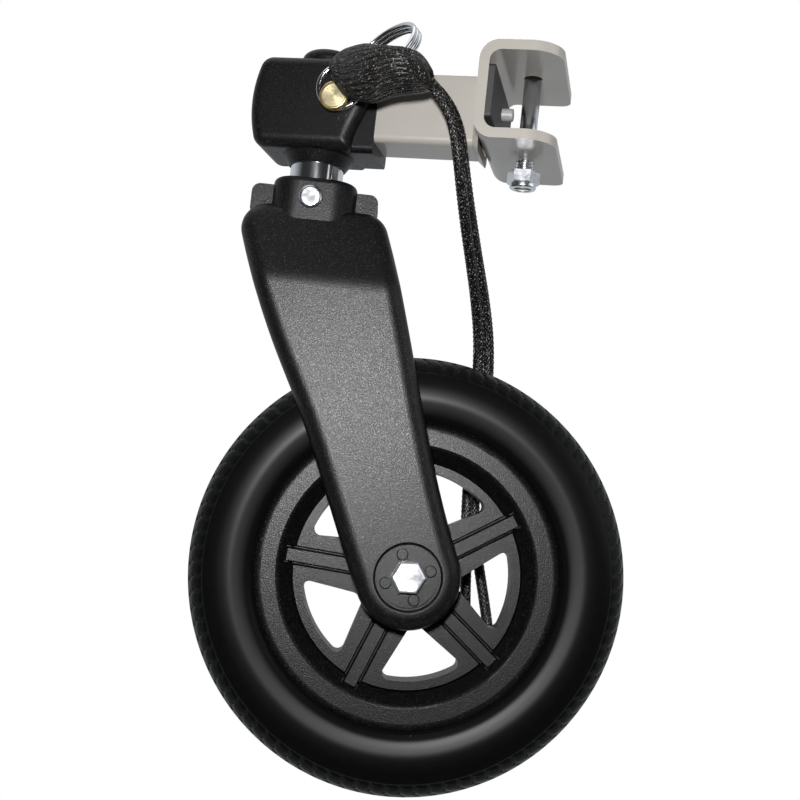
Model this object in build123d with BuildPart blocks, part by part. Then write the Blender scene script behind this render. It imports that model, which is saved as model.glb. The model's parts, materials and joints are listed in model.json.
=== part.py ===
from build123d import *
import math
import os

# Swivelling caster wheel on a short arm, with the channel that bolts to a gate's frame.
# Millimetres, +Z up. The arm runs along X. The origin is on the rubber pad in the channel,
# where the gate's frame member seats, at the middle of the channel's depth and height.

# --- gate channel ---
CHANNEL_T = 4.5
CHANNEL_GAP = 35.0
CHANNEL_DEPTH = 70.0
CHANNEL_END_X = 28.2
BEND_R = 5.0
FLANGE_NEAR_R = 14.0
FLANGE_FAR_R = 5.0
PAD_T = 3.0
PAD_TOP_Z = 11.5
WEB_INNER_X = -PAD_T
WEB_OUTER_X = WEB_INNER_X - CHANNEL_T
FLANGE_Z = CHANNEL_GAP / 2 + CHANNEL_T
PEG_R = 3.0
PEG_SHANK_R = 2.4
PEG_REACH = 5.2

# --- M8 hardware ---
M8_R = 4.0
M8_HOLE_R = 4.25
HEX_AF = 13.0
HEX_H = 5.3
NYLOC_H = 8.2
WASHER_R = 8.0
WASHER_T = 1.6
CLAMP_BOLT_X = 12.7
CLAMP_NUT_TOP_Z = -26.4
CLAMP_BOLT_END_Z = -33.4

# --- arm and head ---
STEM_X = -85.0
ARM_Z = -2.7
ARM_H = 33.0
ARM_W = 27.0
ARM_WALL = 2.0
ARM_CORNER_R = 3.0
WELD = 3.0
SLEEVE_R = 17.0
SLEEVE_BORE_R = 14.0
HEAD_HALF = 20.0
HEAD_BULGE = 30.6
HEAD_LEFT = 26.5
HEAD_RIGHT = 29.0
HEAD_LOW_Z = -25.0
HEAD_TOP_Z = 18.0
HEAD_EDGE_R = 5.5
HEAD_BULGE_Z = -2.5
HEAD_LEFT_R = 6.5
HEAD_RIGHT_R = 2.0
# The head's right edge, from its lower corner up: offset from the stem, height.
HEAD_SWEEP = ((19.5, HEAD_LOW_Z), (20.0, -18.6), (22.6, -11.0), (26.0, -2.5), (27.0, HEAD_TOP_Z))
SKIN_T = 1.2
COLLAR_TOP_R = 16.8
COLLAR_LOW_R = 13.4
COLLAR_Z = -30.0
CAP_R = 13.0
CAP_NECK_R = 11.0
CAP_TOP_Z = 25.2
CAP_EDGE_R = 4.5
BUSH_LOW_Z = -23.5
PLATE_T = 1.9

# --- stem and its retaining pin ---
STEM_R = 12.5
STEM_TOP_Z = 11.8
STEM_LOW_Z = -76.0
RUNNING = 0.05
PIN_OFFSET = 11.4
PIN_Z = -3.0
PIN_R = 4.0
PIN_HOLE_R = 4.25
PIN_NECK_R = 2.9
PIN_HEAD_R = 6.7
PIN_HEAD_Y = -27.0
PIN_HEAD_T = 3.0
PIN_END_Y = 22.5
PIN_RING_R = 10.0
PIN_RING_WIRE_R = 1.25
PIN_RING_AT = (1.2, 5.4)

# --- fork and wheel, turned about the stem ---
YAW = 12.2
TRAIL = 62.0
WHEEL_Z = -214.0
FORK_HALF = 30.0
FORK_GAP = 22.0
FORK_EDGE_R = 7.6
SHOULDER_R = 12.0
FORK_END_R = 23.6
TYRE_CLEAR_R = 108.0
BODY_TOP = 162.0
TAPER_LOW = 127.0
TAPER_HALF = 17.5
TAPER_R = 22.0
BOSS_TOP = 175.0
BOSS_HALF_X = 19.4
BOSS_SHIFT = 1.0
BOSS_HALF_Y = 20.0
BOSS_CORNER_R = 12.0
BOSS_EDGE_R = 2.5
EAR_REACH = 29.5
EAR_HALF_Y = 8.0
EAR_LOW = 157.0
EAR_TOP = 172.4
EAR_CORNER_R = 4.0
EAR_SCREW_X = 23.6
EAR_SCREW_Z = 166.6
CROSS_BOLT_Z = 165.2
CROSS_HEAD_R = 5.5
CROSS_HEAD_H = 3.2
EAR_SCREW_R = 1.75
EAR_SCREW_HEAD_R = 3.2
EAR_SCREW_HEAD_H = 1.2
EAR_BOSS_R = 2.9
EAR_BOSS_H = 0.8
STEM_SOCKET_LOW = 138.0
RECESS_R = 14.4
RECESS_BEVEL = 0.9
RECESS_D = 3.0
DISC_R = 13.2
DISC_T = 2.0
DISC_HEX_AF = 15.4
DISC_HEX_D = 0.8
BOSS_RING_R = 10.2
BOSS_DOT_R = 2.6
BOSS_DOT_H = 0.9

TYRE_R = 100.0
TYRE_HALF = 18.0
RIM_OUTER_R = 69.0
RIM_SEAT_R = 66.0
RIM_HALF = 12.0
RING_INNER_R = 57.7
SPOKE_DISC_R = 51.5
DISC_HALF = 8.0
WEB_HALF = 2.5
HUB_R = 16.0
HUB_HALF = 17.0
SPOKES = 5
WINDOW_TIP = 21.0
WINDOW_OUT = 43.6
WINDOW_UP = 19.4
SPOKE_ANGLE = 32.2
RIB_W = 5.2
RIB_RISE = 1.0
RIB_END_R = 55.0
SPOKE_GROOVE_W = 1.9
SPOKE_GROOVE_D = 3.2
SPOKE_GROOVE_TAPER = 14.0
RING_SPLIT_R = 47.0
HUB_SPLIT_R = 24.6

BEARING_R = 11.0
BEARING_W = 7.0
RACE_OUTER_R = 9.0
RACE_INNER_R = 6.0
BALL_R = 1.45
BALLS = 7
SHIELD_T = 0.5

# --- pull ring and cord ---
PULL_RING_AT = (-49.5, -37.8, 11.3)
PULL_RING_R = 18.0
PULL_RING_W = 5.8
PULL_RING_T = 2.2
CORD_R = 2.3
RING_PLAY = 0.3

os.makedirs("parts", exist_ok=True)

COS, SIN = math.cos(math.radians(YAW)), math.sin(math.radians(YAW))
HUB = Vector(STEM_X + TRAIL * COS, TRAIL * SIN, WHEEL_Z)
AXLE_DIR = Vector(SIN, -COS, 0)
# Local x runs back along the fork, local y up, local z out of the near side.
SIDE = Plane(origin=HUB, x_dir=(COS, SIN, 0), z_dir=AXLE_DIR)
# Local x runs out along the axle, local y up from it.
AXIAL = Plane(origin=HUB, x_dir=AXLE_DIR, z_dir=(-COS, -SIN, 0))
AXLE = Axis(HUB, AXLE_DIR)
# Horizontal, on the stem, with local x back along the fork and z measured from the axle.
CROWN = Plane(origin=(STEM_X, 0, WHEEL_Z), x_dir=(COS, SIN, 0), z_dir=(0, 0, 1))
STEM = Plane(origin=(STEM_X, 0, 0), z_dir=(0, 0, 1))
ARM_MID = Plane(origin=(STEM_X, 0, 0), x_dir=(1, 0, 0), z_dir=(0, -1, 0))
PIN_LINE = Plane(origin=(STEM_X + PIN_OFFSET, 0, PIN_Z), x_dir=(1, 0, 0), z_dir=(0, -1, 0))
PULL_X = Vector(0.588, 0.127, 0.799).normalized()
PULL_NORMAL = PULL_X.cross(Vector(-0.616, 0.711, 0.34)).normalized()
# Across the pull ring's band, with local x out from its centre and local y along its axis.
PULL_CUT = Plane(origin=PULL_RING_AT, x_dir=PULL_X, z_dir=PULL_X.cross(PULL_NORMAL))


def save(piece, name):
    piece.part.label = name
    export_step(piece.part, f"parts/{name}.step")


def tube(plane, outer, inner, low, high):
    """A plain round tube, or a bar when inner is 0, between two offsets of a plane."""
    with BuildPart() as piece:
        with BuildSketch(plane.offset(low)):
            Circle(outer)
            if inner:
                Circle(inner, mode=Mode.SUBTRACT)
        extrude(amount=high - low)
    return piece


def hex_nut(plane, low, height):
    """A nut on an M8 thread, flats up and down, with its end corners broken."""
    with BuildPart() as piece:
        with BuildSketch(plane.offset(low)):
            RegularPolygon(HEX_AF / 2, 6, major_radius=False)
        extrude(amount=height)
        chamfer(piece.faces().filter_by(AXLE).edges(), 0.45)
        with BuildSketch(plane.offset(low)):
            Circle(M8_R)
        extrude(amount=height, mode=Mode.SUBTRACT)
    return piece


# ---------------------------------------------------------------- gate channel

with BuildPart() as clamp_channel:
    with BuildSketch(Plane.XZ):
        with Locations(((WEB_OUTER_X + CHANNEL_END_X) / 2, 0)):
            Rectangle(CHANNEL_END_X - WEB_OUTER_X, 2 * FLANGE_Z)
        with Locations(((WEB_INNER_X + CHANNEL_END_X) / 2 + 1, 0)):
            Rectangle(CHANNEL_END_X - WEB_INNER_X + 2, CHANNEL_GAP, mode=Mode.SUBTRACT)
    extrude(amount=CHANNEL_DEPTH / 2, both=True)
    bends = clamp_channel.edges().filter_by(Axis.Y).group_by(Axis.X)
    fillet(bends[0], BEND_R + CHANNEL_T * 0.8)
    inner_bends = [e for e in clamp_channel.edges().filter_by(Axis.Y)
                   if abs(e.center().X - WEB_INNER_X) < 0.1]
    fillet(inner_bends, BEND_R)
    corners = clamp_channel.edges().filter_by(Axis.Z).group_by(Axis.X)[-1].group_by(Axis.Y)
    fillet(corners[0], FLANGE_NEAR_R)
    corners = clamp_channel.edges().filter_by(Axis.Z).group_by(Axis.X)[-1].group_by(Axis.Y)
    fillet(corners[-1], FLANGE_FAR_R)
    with Locations((CLAMP_BOLT_X, 0, 0)):
        Cylinder(M8_HOLE_R, 3 * FLANGE_Z, mode=Mode.SUBTRACT)
    with Locations(Location((WEB_INNER_X, 0, 0), (0, 90, 0))):
        Cylinder(PEG_SHANK_R, 4 * CHANNEL_T, mode=Mode.SUBTRACT)
save(clamp_channel, "clamp_channel")

with BuildPart() as web_pad:
    pad_low = -CHANNEL_GAP / 2 + BEND_R
    with BuildSketch(Plane.YZ.offset(WEB_INNER_X)):
        with Locations((0, (pad_low + PAD_TOP_Z) / 2)):
            RectangleRounded(CHANNEL_DEPTH - 2, PAD_TOP_Z - pad_low, 1.5)
        Circle(PEG_R + 0.2, mode=Mode.SUBTRACT)
    extrude(amount=PAD_T)
    fillet(web_pad.faces().sort_by(Axis.X)[-1].outer_wire().edges(), 0.8)
save(web_pad, "web_pad")

with BuildPart() as locating_peg:
    with BuildSketch(Plane.YZ.offset(WEB_OUTER_X)):
        Circle(PEG_SHANK_R)
    extrude(amount=CHANNEL_T)
    with BuildSketch(Plane.YZ.offset(WEB_INNER_X)):
        Circle(PEG_R)
    extrude(amount=PEG_REACH - WEB_INNER_X)
    fillet(locating_peg.faces().sort_by(Axis.X)[-1].edges(), 0.7)
save(locating_peg, "locating_peg")

with BuildPart() as clamp_bolt:
    with BuildSketch(Plane.XY.offset(FLANGE_Z + WASHER_T)):
        with Locations((CLAMP_BOLT_X, 0)):
            RegularPolygon(HEX_AF / 2, 6, major_radius=False)
    extrude(amount=HEX_H)
    chamfer(clamp_bolt.faces().sort_by(Axis.Z)[-1].edges(), 0.5)
    with BuildSketch(Plane.XY.offset(CLAMP_BOLT_END_Z)):
        with Locations((CLAMP_BOLT_X, 0)):
            Circle(M8_R)
    extrude(amount=FLANGE_Z + WASHER_T - CLAMP_BOLT_END_Z)
    chamfer(clamp_bolt.faces().sort_by(Axis.Z)[0].edges(), 0.7)
save(clamp_bolt, "clamp_bolt")

BOLT_PLANE = Plane.XY.move(Location((CLAMP_BOLT_X, 0, 0)))
save(tube(BOLT_PLANE, WASHER_R, M8_HOLE_R, FLANGE_Z, FLANGE_Z + WASHER_T), "clamp_washer")

with BuildPart() as clamp_nut:
    nut_hex = CLAMP_NUT_TOP_Z - NYLOC_H + 2.0
    with BuildSketch(Plane.XY.offset(nut_hex)):
        with Locations((CLAMP_BOLT_X, 0)):
            RegularPolygon(HEX_AF / 2, 6, major_radius=False)
    extrude(amount=CLAMP_NUT_TOP_Z - nut_hex)
    chamfer(clamp_nut.faces().filter_by(Axis.Z).edges(), 0.45)
    with BuildSketch(Plane.XY.offset(nut_hex)):
        with Locations((CLAMP_BOLT_X, 0)):
            Circle(HEX_AF / 2 - 0.4)
    extrude(amount=-2.0)
    fillet(clamp_nut.faces().sort_by(Axis.Z)[0].edges(), 0.9)
    with BuildSketch(Plane.XY.offset(CLAMP_NUT_TOP_Z)):
        with Locations((CLAMP_BOLT_X, 0)):
            Circle(M8_R)
    extrude(amount=-2 * NYLOC_H, mode=Mode.SUBTRACT)
    with BuildSketch(Plane.XY.offset(CLAMP_NUT_TOP_Z - NYLOC_H + 0.5)):
        with Locations((CLAMP_BOLT_X, 0)):
            Circle(M8_R + 1.1)
    extrude(amount=2.0, mode=Mode.SUBTRACT)
save(clamp_nut, "clamp_nut")

nylon_low = CLAMP_NUT_TOP_Z - NYLOC_H + 0.5
save(tube(BOLT_PLANE, M8_R + 1.1, M8_R, nylon_low, nylon_low + 2.0), "nut_insert")

# ---------------------------------------------------------------- arm and head

with BuildPart() as arm_tube:
    with BuildSketch(Plane.YZ.offset(STEM_X)):
        with Locations((0, ARM_Z)):
            RectangleRounded(ARM_W, ARM_H, ARM_CORNER_R)
            RectangleRounded(ARM_W - 2 * ARM_WALL, ARM_H - 2 * ARM_WALL, 1.2, mode=Mode.SUBTRACT)
    extrude(amount=WEB_OUTER_X - STEM_X)
    with Locations((STEM_X, 0, ARM_Z)):
        Cylinder(SLEEVE_R, 2 * ARM_H, mode=Mode.SUBTRACT)
    with Locations(Location((STEM_X + PIN_OFFSET, 0, PIN_Z), (90, 0, 0))):
        Cylinder(PIN_HOLE_R, 3 * ARM_W, mode=Mode.SUBTRACT)
save(arm_tube, "arm_tube")

with BuildPart() as arm_weld:
    with BuildSketch(Plane.YZ.offset(WEB_OUTER_X)):
        with Locations((0, ARM_Z)):
            RectangleRounded(ARM_W + 2 * WELD, ARM_H + 2 * WELD - 0.8, 4.5)
    extrude(amount=-WELD, taper=42)
    with BuildSketch(Plane.YZ.offset(WEB_OUTER_X)):
        with Locations((0, ARM_Z)):
            RectangleRounded(ARM_W, ARM_H, ARM_CORNER_R)
    extrude(amount=-2 * WELD, mode=Mode.SUBTRACT)
save(arm_weld, "arm_weld")

with BuildPart() as pivot_sleeve:
    with BuildSketch(STEM.offset(ARM_Z - ARM_H / 2)):
        Circle(SLEEVE_R)
        Circle(SLEEVE_BORE_R, mode=Mode.SUBTRACT)
    extrude(amount=ARM_H)
    with Locations(Location((STEM_X + PIN_OFFSET, 0, PIN_Z), (90, 0, 0))):
        Cylinder(PIN_HOLE_R, 3 * ARM_W, mode=Mode.SUBTRACT)
save(pivot_sleeve, "pivot_sleeve")

SLEEVE_HIGH = ARM_Z + ARM_H / 2
BUSH_LOW_TOP = PIN_Z - PIN_R - 1.5
BUSH_HIGH_LOW = PIN_Z + PIN_R + 1.5
save(tube(STEM, SLEEVE_BORE_R, STEM_R + RUNNING, BUSH_LOW_Z, BUSH_LOW_TOP), "lower_bush")
save(tube(STEM, SLEEVE_BORE_R, STEM_R + RUNNING, BUSH_HIGH_LOW, SLEEVE_HIGH - PLATE_T), "upper_bush")
save(tube(STEM, SLEEVE_BORE_R, 0, SLEEVE_HIGH - PLATE_T, SLEEVE_HIGH), "thrust_plate")

with BuildPart() as head_cover:
    with BuildSketch(ARM_MID) as head_side:
        with BuildLine():
            Line(HEAD_SWEEP[-1], (-HEAD_LEFT, HEAD_TOP_Z))
            ThreePointArc((-HEAD_LEFT, HEAD_TOP_Z), (-HEAD_BULGE, HEAD_BULGE_Z), (-HEAD_LEFT, HEAD_LOW_Z))
            Line((-HEAD_LEFT, HEAD_LOW_Z), HEAD_SWEEP[0])
            Spline(*HEAD_SWEEP)
        make_face()
        fillet(head_side.vertices().sort_by(Axis.X)[-2:], HEAD_RIGHT_R)
        fillet(head_side.vertices().sort_by(Axis.X)[:2], HEAD_LEFT_R)
    extrude(amount=HEAD_HALF, both=True)
    fillet(head_cover.faces().filter_by(Axis.Y).edges(), HEAD_EDGE_R)
    with BuildSketch(Plane.YZ.offset(STEM_X + PIN_OFFSET)):
        with Locations((0, (HEAD_LOW_Z + HEAD_TOP_Z) / 2)):
            RectangleRounded(ARM_W + 2 * SKIN_T, HEAD_TOP_Z - HEAD_LOW_Z, ARM_CORNER_R)
    extrude(amount=HEAD_RIGHT - PIN_OFFSET)
    with BuildSketch(STEM.offset(HEAD_LOW_Z)):
        Circle(COLLAR_TOP_R)
    with BuildSketch(STEM.offset(COLLAR_Z)):
        Circle(COLLAR_LOW_R)
    loft()
    with Locations((STEM_X, 0, ARM_Z)):
        Cylinder(SLEEVE_R, ARM_H, mode=Mode.SUBTRACT)
    with BuildSketch(Plane.YZ.offset(STEM_X)):
        with Locations((0, ARM_Z)):
            RectangleRounded(ARM_W, ARM_H, ARM_CORNER_R)
    extrude(amount=2 * HEAD_RIGHT, mode=Mode.SUBTRACT)
    with BuildSketch(STEM.offset(COLLAR_Z)):
        Circle(STEM_R + RING_PLAY)
    extrude(amount=ARM_H, mode=Mode.SUBTRACT)
    with BuildSketch(STEM.offset(BUSH_LOW_Z)):
        Circle(SLEEVE_BORE_R)
    extrude(amount=ARM_H, mode=Mode.SUBTRACT)
    with BuildSketch(STEM.offset(SLEEVE_HIGH)):
        Circle(CAP_NECK_R)
    extrude(amount=ARM_H, mode=Mode.SUBTRACT)
    with BuildSketch(PIN_LINE):
        Circle(PIN_R + RUNNING)
    extrude(amount=2 * HEAD_HALF, both=True, mode=Mode.SUBTRACT)
save(head_cover, "head_cover")

with BuildPart() as head_cap:
    with BuildSketch(STEM.offset(SLEEVE_HIGH)):
        Circle(CAP_NECK_R)
    extrude(amount=HEAD_TOP_Z - SLEEVE_HIGH)
    with BuildSketch(STEM.offset(HEAD_TOP_Z)):
        Circle(CAP_R)
    extrude(amount=CAP_TOP_Z - HEAD_TOP_Z)
    fillet(head_cap.faces().sort_by(Axis.Z)[-1].edges(), CAP_EDGE_R)
save(head_cap, "head_cap")

# ---------------------------------------------------------------- retaining pin

with BuildPart() as retaining_pin:
    with BuildSketch(PIN_LINE.offset(-PIN_END_Y)):
        Circle(PIN_R)
    extrude(amount=PIN_END_Y + HEAD_HALF)
    chamfer(retaining_pin.faces().sort_by(Axis.Y)[-1].edges(), 1.2)
    with BuildSketch(PIN_LINE.offset(HEAD_HALF)):
        Circle(PIN_NECK_R)
    extrude(amount=-PIN_HEAD_Y - PIN_HEAD_T - HEAD_HALF)
    with BuildSketch(PIN_LINE.offset(-PIN_HEAD_Y - PIN_HEAD_T)):
        Circle(PIN_HEAD_R)
    extrude(amount=PIN_HEAD_T)
    fillet(retaining_pin.faces().sort_by(Axis.Y)[0].edges(), 0.9)
save(retaining_pin, "retaining_pin")

RING_Y = (PIN_HEAD_Y + PIN_HEAD_T + (-HEAD_HALF)) / 2
RING_CENTRE = (STEM_X + PIN_OFFSET + PIN_RING_AT[0], RING_Y, PIN_Z + PIN_RING_AT[1])
RING_PLACE = Location(RING_CENTRE, (90, 0, 0))
with BuildPart() as pin_ring:
    with Locations(RING_PLACE):
        Torus(PIN_RING_R, PIN_RING_WIRE_R)
save(pin_ring, "pin_ring")


def pull_ring_band(play):
    """The pull ring's flat band, grown by some play all round."""
    with BuildPart() as band:
        with BuildSketch(PULL_CUT):
            with Locations((PULL_RING_R, 0)):
                RectangleRounded(PULL_RING_T + 2 * play, PULL_RING_W + 2 * play, 0.9)
        revolve(axis=Axis(PULL_RING_AT, PULL_NORMAL))
    return band


save(pull_ring_band(0), "pull_ring")

# The cord's bundle round both rings: an oval body, drawn section by section along X.
HITCH = (
    (-75.2, -26.6, 9.4, 2.8, 3.0),
    (-70.3, -29.0, 7.8, 6.6, 8.2),
    (-63.2, -33.0, 5.2, 11.0, 11.2),
    (-57.5, -36.2, 4.2, 14.0, 11.6),
    (-50.4, -38.8, 3.0, 16.6, 10.2),
    (-42.7, -40.0, 3.6, 16.4, 8.2),
    (-35.4, -40.8, 3.6, 12.4, 7.0),
)
with BuildPart() as cord_hitch:
    for x, y, z, half_y, half_z in HITCH:
        with BuildSketch(Plane.YZ.offset(x)):
            with Locations((y, z)):
                Ellipse(half_y, half_z)
    loft()
    with BuildSketch(PIN_LINE.offset(HEAD_HALF)):
        Circle(PIN_HEAD_R + RING_PLAY)
    extrude(amount=3 * PIN_HEAD_R, mode=Mode.SUBTRACT)
    with Locations(RING_PLACE):
        Torus(PIN_RING_R, PIN_RING_WIRE_R, mode=Mode.SUBTRACT)
    add(pull_ring_band(RING_PLAY).part, mode=Mode.SUBTRACT)
save(cord_hitch, "cord_hitch")

# The cord's doubled tail: down in front of the arm, back behind the wheel, and up again.
CORD_ROUTE = (
    (-32.6, -28.0, 6.0),
    (-24.8, -27.2, -1.0),
    (-17.5, -25.5, -13.0),
    (-14.2, -23.5, -28.0),
    (-12.6, -14.5, -41.0),
    (-11.2, -1.0, -54.0),
    (-9.2, 13.0, -68.0),
    (-7.2, 27.0, -83.0),
    (-5.6, 38.0, -99.0),
    (-5.0, 43.4, -117.0),
    (-5.4, 44.2, -140.0),
    (-4.6, 43.0, -166.0),
    (-3.4, 42.8, -188.0),
    (-1.4, 43.6, -206.0),
    (-0.5, 44.9, -222.0),
    (1.4, 45.5, -240.0),
    (2.2, 46.0, -252.0),
    (5.0, 46.5, -260.0),
    (11.0, 47.3, -260.0),
    (13.8, 47.8, -252.0),
    (12.4, 47.6, -240.0),
    (8.0, 47.4, -222.0),
    (3.6, 48.2, -206.0),
    (-0.4, 48.4, -188.0),
    (-1.6, 47.8, -166.0),
    (-0.2, 46.0, -140.0),
    (0.2, 44.6, -116.6),
    (-1.2, 40.6, -97.4),
    (-4.0, 30.3, -80.1),
    (-7.0, 16.5, -64.6),
    (-9.4, 2.6, -50.5),
    (-11.4, -10.6, -37.5),
    (-13.2, -18.7, -25.8),
    (-16.3, -20.4, -12.0),
    (-23.6, -22.1, 0.2),
    (-32.2, -22.7, 7.0),
)


def route_radii(points):
    """Each arc is as large as the shorter of its two runs allows."""
    radii = []
    for before, here, after in zip(points, points[1:], points[2:]):
        come, go = Vector(*here) - Vector(*before), Vector(*after) - Vector(*here)
        half_turn = math.radians(come.get_angle(go)) / 2
        radii.append(0.45 * min(come.length, go.length) / math.tan(half_turn))
    return radii


CORD_RADII = route_radii(CORD_ROUTE)
print("cord radii", [round(r, 1) for r in CORD_RADII])
with BuildPart() as cord_loop:
    with BuildLine() as cord_line:
        FilletPolyline(*CORD_ROUTE, radius=CORD_RADII)
    with BuildSketch(Plane(origin=cord_line.line @ 0, z_dir=cord_line.line % 0)):
        Circle(CORD_R)
    sweep()
section = math.pi * CORD_R**2
cord_length = sum(edge.length for edge in cord_line.edges())
print("cord length", round(cord_length, 1), "volume / section",
      round(cord_loop.part.volume / section, 1))
save(cord_loop, "cord_loop")

# ---------------------------------------------------------------- stem and fork

with BuildPart() as stem:
    with BuildSketch(STEM.offset(STEM_LOW_Z)):
        Circle(STEM_R)
    extrude(amount=STEM_TOP_Z - STEM_LOW_Z)
    chamfer(stem.faces().sort_by(Axis.Z)[-1].edges(), 1.0)
    chamfer(stem.faces().sort_by(Axis.Z)[0].edges(), 1.0)
    with BuildSketch(ARM_MID):
        with Locations((PIN_OFFSET, PIN_Z)):
            Circle(PIN_R + 0.3)
    revolve(axis=Axis((STEM_X, 0, 0), (0, 0, 1)), mode=Mode.SUBTRACT)
    with BuildSketch(SIDE):
        with Locations((-TRAIL, CROSS_BOLT_Z)):
            Circle(M8_R)
    extrude(amount=2 * STEM_R, both=True, mode=Mode.SUBTRACT)
save(stem, "stem")


def tangent_point(point, side):
    """Where a line from a point touches the round end about the axle."""
    angle = math.atan2(point[1], point[0]) + side * math.acos(FORK_END_R / math.hypot(*point))
    return FORK_END_R * math.cos(angle), FORK_END_R * math.sin(angle)


LEFT_EDGE = ((-97.0, BODY_TOP), (-85.0, 128.0), (-69.2, 93.0), (-55.9, 67.7), (-44.3, 42.3))
RIGHT_EDGE = ((2.7, 61.8), (-8.3, 99.2), (-28.4, BODY_TOP))
EAR_SCREWS_AT = (-TRAIL + BOSS_SHIFT - EAR_SCREW_X, -TRAIL + BOSS_SHIFT + EAR_SCREW_X)


def outline_edges(faces):
    """The edges that belong to only one of some faces."""
    edges = [edge for face in faces for edge in face.edges()]
    return [edge for edge in edges if sum(edge.is_same(other) for other in edges) == 1]


def boss_half(side):
    """Half of the crown's upright boss, which holds the stem."""
    with BuildPart() as boss:
        with BuildSketch(CROWN.offset(BODY_TOP - 10)):
            with Locations((BOSS_SHIFT, 0)):
                RectangleRounded(2 * BOSS_HALF_X, 2 * BOSS_HALF_Y, BOSS_CORNER_R)
        extrude(amount=BOSS_TOP - BODY_TOP + 10)
        fillet(boss.faces().sort_by(Axis.Z)[-1].edges(), BOSS_EDGE_R)
        split(bisect_by=SIDE, keep=Keep.TOP if side > 0 else Keep.BOTTOM)
    return boss


def fork_half(near):
    """One moulded half of the fork: a leg, half the crown and half of its two ears."""
    side = 1 if near else -1
    left_touch = tangent_point(LEFT_EDGE[-1], 1)
    right_touch = tangent_point(RIGHT_EDGE[0], -1)
    with BuildPart() as half:
        with BuildSketch(SIDE) as outline:
            with BuildLine():
                ThreePointArc(left_touch, (0, -FORK_END_R), right_touch)
                Spline(right_touch, *RIGHT_EDGE)
                Line(RIGHT_EDGE[-1], LEFT_EDGE[0])
                Spline(*LEFT_EDGE, left_touch)
            make_face()
            fillet(outline.vertices().group_by(Axis.Y)[-1], SHOULDER_R)
        extrude(amount=side * FORK_HALF)
        with BuildSketch(AXIAL) as front:
            with BuildLine():
                Polyline((0, BODY_TOP), (side * TAPER_HALF, BODY_TOP), (side * FORK_HALF, TAPER_LOW),
                         (side * FORK_HALF, -FORK_HALF), (0, -FORK_HALF), close=True)
            make_face()
            fillet(front.vertices().sort_by_distance((side * FORK_HALF, TAPER_LOW, 0))[0], TAPER_R)
        extrude(amount=2 * TRAIL, both=True, mode=Mode.INTERSECT)
        outer = half.faces().filter_by(lambda face: face.normal_at().dot(AXLE_DIR) * side > 0.5)
        fillet(outline_edges(outer), FORK_EDGE_R)
        with BuildSketch(SIDE):
            Circle(TYRE_CLEAR_R)
        extrude(amount=side * FORK_GAP, mode=Mode.SUBTRACT)
        add(boss_half(side).part)
        with BuildSketch(SIDE):
            with Locations((-TRAIL + BOSS_SHIFT, (EAR_LOW + EAR_TOP) / 2)):
                RectangleRounded(2 * EAR_REACH, EAR_TOP - EAR_LOW, EAR_CORNER_R)
        extrude(amount=side * EAR_HALF_Y)
        with BuildSketch(CROWN.offset(STEM_SOCKET_LOW)):
            Circle(STEM_R)
        extrude(amount=BOSS_TOP - STEM_SOCKET_LOW, mode=Mode.SUBTRACT)
        with BuildSketch(SIDE):
            for x in EAR_SCREWS_AT:
                with Locations((x, EAR_SCREW_Z)):
                    Circle(EAR_SCREW_R)
        extrude(amount=side * EAR_HALF_Y, mode=Mode.SUBTRACT)
        if near:
            with BuildSketch(SIDE.offset(EAR_HALF_Y)):
                for x in EAR_SCREWS_AT:
                    with Locations((x, EAR_SCREW_Z)):
                        Circle(EAR_BOSS_R)
            extrude(amount=EAR_BOSS_H)
        with BuildSketch(SIDE):
            with Locations((-TRAIL, CROSS_BOLT_Z)):
                Circle(M8_R)
            Circle(M8_R)
        extrude(amount=side * 2 * FORK_HALF, mode=Mode.SUBTRACT)
        with BuildSketch(SIDE.offset(side * (FORK_HALF - RECESS_D))):
            Circle(RECESS_R)
        extrude(amount=side * 2 * RECESS_D, mode=Mode.SUBTRACT)
        with BuildSketch(SIDE.offset(side * FORK_HALF)):
            Circle(RECESS_R + RECESS_BEVEL)
        extrude(amount=-side * RECESS_BEVEL, taper=45, mode=Mode.SUBTRACT)
    return half


save(fork_half(True), "fork_near_half")
save(fork_half(False), "fork_far_half")


def both_sides(solid_at):
    """The same solid on both sides of the wheel, mirrored about its middle."""
    with BuildPart() as pair:
        add(solid_at.part)
        mirror(about=SIDE)
    return pair


def side_bar(radius, inner, low, high):
    return tube(SIDE, radius, inner, low, high)


with BuildPart() as ear_screws:
    for x in EAR_SCREWS_AT:
        with BuildSketch(SIDE.offset(-EAR_HALF_Y)):
            with Locations((x, EAR_SCREW_Z)):
                Circle(EAR_SCREW_R)
        extrude(amount=2 * EAR_HALF_Y)
        with BuildSketch(SIDE.offset(-EAR_HALF_Y)):
            with Locations((x, EAR_SCREW_Z)):
                Circle(EAR_SCREW_HEAD_R)
        extrude(amount=-EAR_SCREW_HEAD_H)
save(ear_screws, "ear_screws")

CROSS = Plane(origin=SIDE.from_local_coords((-TRAIL, CROSS_BOLT_Z, 0)), x_dir=SIDE.x_dir, z_dir=AXLE_DIR)
with BuildPart() as crown_bolt:
    with BuildSketch(CROSS.offset(-BOSS_HALF_Y - 7.0)):
        Circle(M8_R)
    extrude(amount=2 * BOSS_HALF_Y + 7.0)
    with BuildSketch(CROSS.offset(BOSS_HALF_Y)):
        Circle(CROSS_HEAD_R)
    extrude(amount=CROSS_HEAD_H)
    fillet(crown_bolt.faces().sort_by(AXLE)[-1].edges(), 1.6)
save(crown_bolt, "crown_bolt")
save(hex_nut(CROSS, -BOSS_HALF_Y - 6.5, 6.5), "crown_nut")

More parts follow.
